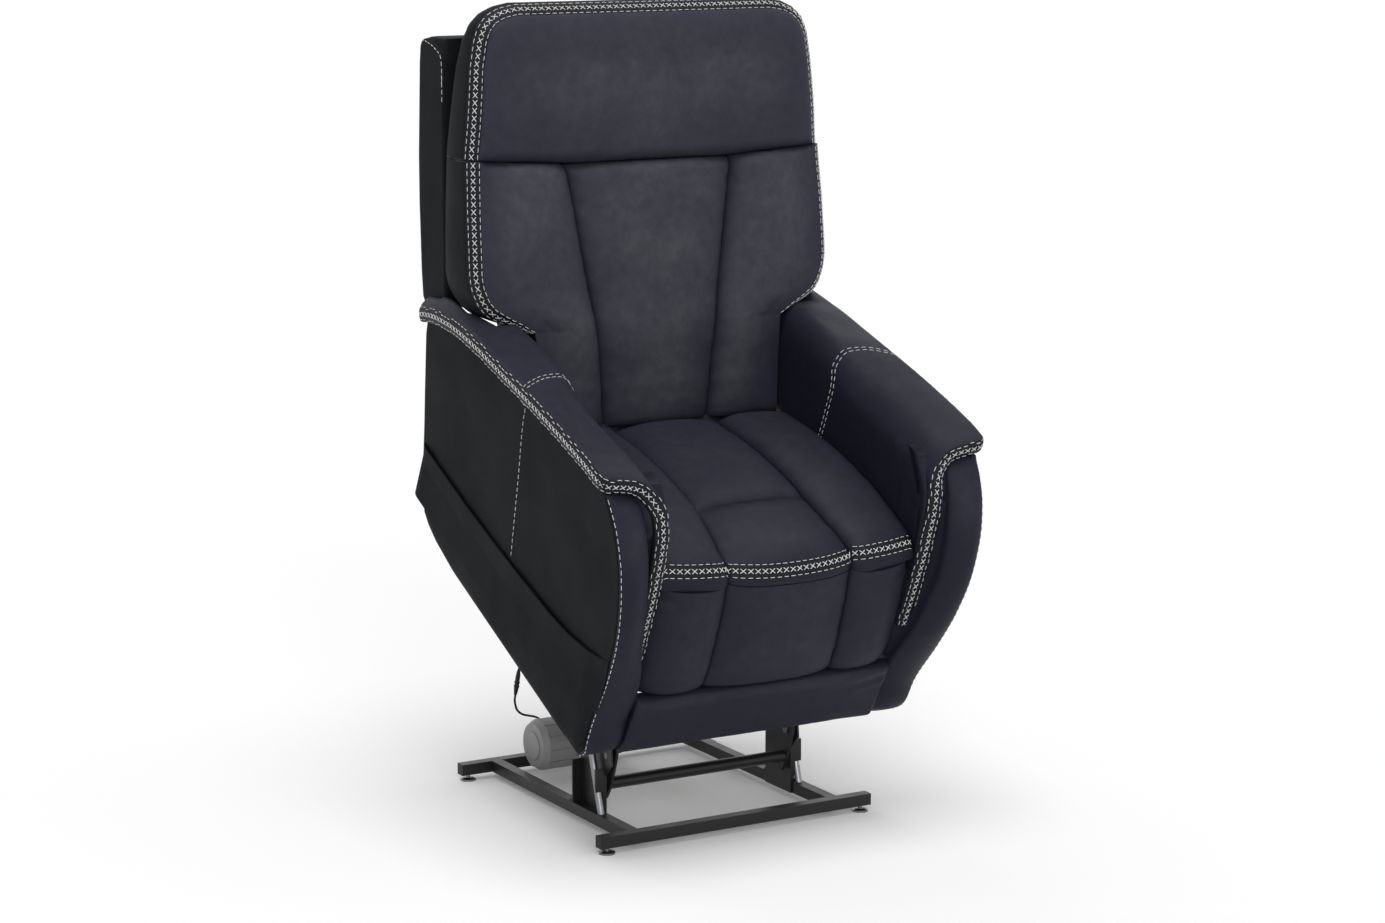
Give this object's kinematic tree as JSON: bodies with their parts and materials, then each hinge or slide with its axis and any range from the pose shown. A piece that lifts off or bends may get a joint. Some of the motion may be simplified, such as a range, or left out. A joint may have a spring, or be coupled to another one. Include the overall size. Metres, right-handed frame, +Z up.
{
  "type": "lift recliner chair",
  "caption": "Leather recliner on a lifting floor frame that raises and tips the seat, with a fold-out footrest, reclining back and tilting headrest.",
  "frame": {"origin": "middle of the whole chair's plan at floor level, with the lift fully raised", "axes": "+Z up, the sitter looks along -Y, +X to the sitter's left"},
  "size_m": [0.9022, 0.971, 1.722],
  "materials": {
    "navy_leather": "soft waxed leather, satin",
    "side_leather": "smooth matt upholstery",
    "black_steel": "satin black powder coat",
    "zinc_steel": "zinc plated",
    "grey_plastic": "fine grained grey housing",
    "black_plastic": "moulded black plastic",
    "button_grey": "soft keypad",
    "lead_rubber": "black sheathed lead",
    "timber": "sawn plywood"
  },
  "bodies": {
    "base": {"floor_rails": "black_steel", "side_rails": "black_steel", "rail_end_caps": "black_plastic", "levelling_feet": "zinc_steel", "towers": "black_steel", "tower_braces": "zinc_steel", "tower_pins": "zinc_steel", "actuator_bracket": "black_steel"},
    "front_link": {"front_links": "black_steel", "torque_tube": "black_steel", "lift_cross_tube": "black_steel"},
    "rear_link": {"rear_links": "black_steel"},
    "lift_drive": {"lift_motor": "grey_plastic", "lift_gearbox": "black_plastic", "lift_tube": "grey_plastic", "motor_lead": "lead_rubber", "lead_connector": "black_plastic"},
    "lift_ram": {"lift_rod": "zinc_steel"},
    "chair": {"linkage_plates": "black_steel", "seat_side_rails": "black_steel", "seat_cross_rails": "black_steel", "actuator_clevises": "black_steel", "frame_pins": "zinc_steel", "seat_springs": "zinc_steel", "control_box": "black_plastic", "front_panel": "navy_leather", "arm_boards": "timber", "arm_blocks": "timber", "arm_bolts": "zinc_steel", "arm_side_panel_left": "side_leather", "arm_side_panel_right": "side_leather", "arm_front_pads": "navy_leather", "arm_top_pad_left": "navy_leather", "arm_top_pad_right": "navy_leather", "side_pocket": "side_leather", "handset": "black_plastic", "seat_cushion": "navy_leather"},
    "back": {"back_uprights": "timber", "back_rails": "timber", "back_cushion": "navy_leather", "back_shell": "side_leather", "headrest_guides": "black_steel", "recline_crank": "black_steel"},
    "headrest": {"headrest_board": "timber", "headrest_arcs": "black_steel", "headrest_cushion": "navy_leather"},
    "recline_drive": {"recline_motor": "black_plastic"},
    "recline_ram": {"recline_rod": "zinc_steel"},
    "foot_rear_link": {"footrest_rear_links": "black_steel", "footrest_cross_tube": "black_steel"},
    "foot_front_link": {"footrest_front_links": "black_steel"},
    "footrest": {"footrest_board": "timber", "footrest_brackets": "black_steel", "footrest_pad": "navy_leather"},
    "footrest_drive": {"footrest_motor": "black_plastic"},
    "footrest_ram": {"footrest_rod": "zinc_steel"},
    "button_up": {"button_up": "button_grey"},
    "button_down": {"button_down": "button_grey"},
    "button_recline": {"button_recline": "button_grey"},
    "button_footrest": {"button_footrest": "button_grey"}
  },
  "joints": [
    {"name": "lift", "type": "hinge", "parent": "base", "child": "front_link", "pos_m": [0, -0.0588, 0.1625], "axis": [-1, 0, 0], "range_deg": [0, 86.2], "deforming": ["motor_lead"]},
    {"name": "seat_tilt", "type": "hinge", "parent": "front_link", "child": "chair", "pos_m": [0, 0.05513, 0.37505], "axis": [1, 0, 0], "range_deg": [0, 60.21]},
    {"name": "rear_link_swing", "type": "hinge", "parent": "base", "child": "rear_link", "pos_m": [0, 0.0076, 0.185], "axis": [-1, 0, 0], "range_deg": [0, 76.68]},
    {"name": "lift_drive_swing", "type": "hinge", "parent": "base", "child": "lift_drive", "pos_m": [0, 0.399, 0.075], "axis": [1, 0, 0], "range_deg": [0, 0.605]},
    {"name": "lift_ram_travel", "type": "slide", "parent": "lift_drive", "child": "lift_ram", "axis": [0, 0.9445, -0.3285], "range_m": [0, 0.12291]},
    {"name": "recline", "type": "hinge", "parent": "chair", "child": "back", "pos_m": [0, 0.194, 0.8], "axis": [-1, 0, 0], "range_deg": [0, 30]},
    {"name": "recline_drive_swing", "type": "hinge", "parent": "chair", "child": "recline_drive", "pos_m": [0, -0.08611, 0.56996], "axis": [1, 0, 0], "range_deg": [0, 3.89]},
    {"name": "recline_ram_travel", "type": "slide", "parent": "recline_drive", "child": "recline_ram", "axis": [0, -0.9289, -0.3703], "range_m": [0, 0.05315]},
    {"name": "headrest_tilt", "type": "hinge", "parent": "back", "child": "headrest", "pos_m": [0, 0.185, 1.4], "axis": [1, 0, 0], "range_deg": [0, 22]},
    {"name": "footrest", "type": "hinge", "parent": "chair", "child": "foot_rear_link", "pos_m": [0, -0.22575, 0.55971], "axis": [-1, 0, 0], "range_deg": [0, 75.94]},
    {"name": "foot_elbow", "type": "hinge", "parent": "foot_rear_link", "child": "foot_front_link", "pos_m": [0, -0.18425, 0.38456], "axis": [1, 0, 0], "range_deg": [0, 115.66]},
    {"name": "foot_pad_tilt", "type": "hinge", "parent": "foot_front_link", "child": "footrest", "pos_m": [0, -0.32023, 0.5025], "axis": [-1, 0, 0], "range_deg": [0, 127.72]},
    {"name": "footrest_drive_swing", "type": "hinge", "parent": "chair", "child": "footrest_drive", "pos_m": [0, 0.14495, 0.68933], "axis": [-1, 0, 0], "range_deg": [0, 3.44]},
    {"name": "footrest_ram_travel", "type": "slide", "parent": "footrest_drive", "child": "footrest_ram", "axis": [0, -0.8581, -0.5134], "range_m": [0, 0.1031]},
    {"name": "press_up", "type": "slide", "parent": "chair", "child": "button_up", "axis": [0.9964, -0.0371, 0.0761], "range_m": [0, 0.0015], "stiffness_N_per_m": 400, "springref_m": -0.001},
    {"name": "press_down", "type": "slide", "parent": "chair", "child": "button_down", "axis": [0.9964, -0.0371, 0.0761], "range_m": [0, 0.0015], "stiffness_N_per_m": 400, "springref_m": -0.001},
    {"name": "press_recline", "type": "slide", "parent": "chair", "child": "button_recline", "axis": [0.9964, -0.0371, 0.0761], "range_m": [0, 0.0015], "stiffness_N_per_m": 400, "springref_m": -0.001},
    {"name": "press_footrest", "type": "slide", "parent": "chair", "child": "button_footrest", "axis": [0.9964, -0.0371, 0.0761], "range_m": [0, 0.0015], "stiffness_N_per_m": 400, "springref_m": -0.001}
  ],
  "couplings": [
    {"joint": "seat_tilt", "follows": "lift", "ratio": 0.69838},
    {"joint": "rear_link_swing", "follows": "lift", "ratio": 0.88945},
    {"joint": "lift_drive_swing", "follows": "lift", "ratio": 0.0069},
    {"joint": "lift_ram_travel", "follows": "lift", "m_per_rad": 0.081689},
    {"joint": "recline_drive_swing", "follows": "recline", "ratio": 0.12919},
    {"joint": "recline_ram_travel", "follows": "recline", "m_per_rad": 0.10151},
    {"joint": "foot_elbow", "follows": "footrest", "ratio": 1.5229},
    {"joint": "foot_pad_tilt", "follows": "footrest", "ratio": 1.6817},
    {"joint": "footrest_drive_swing", "follows": "footrest", "ratio": 0.045139},
    {"joint": "footrest_ram_travel", "follows": "footrest", "m_per_rad": 0.077783}
  ]
}
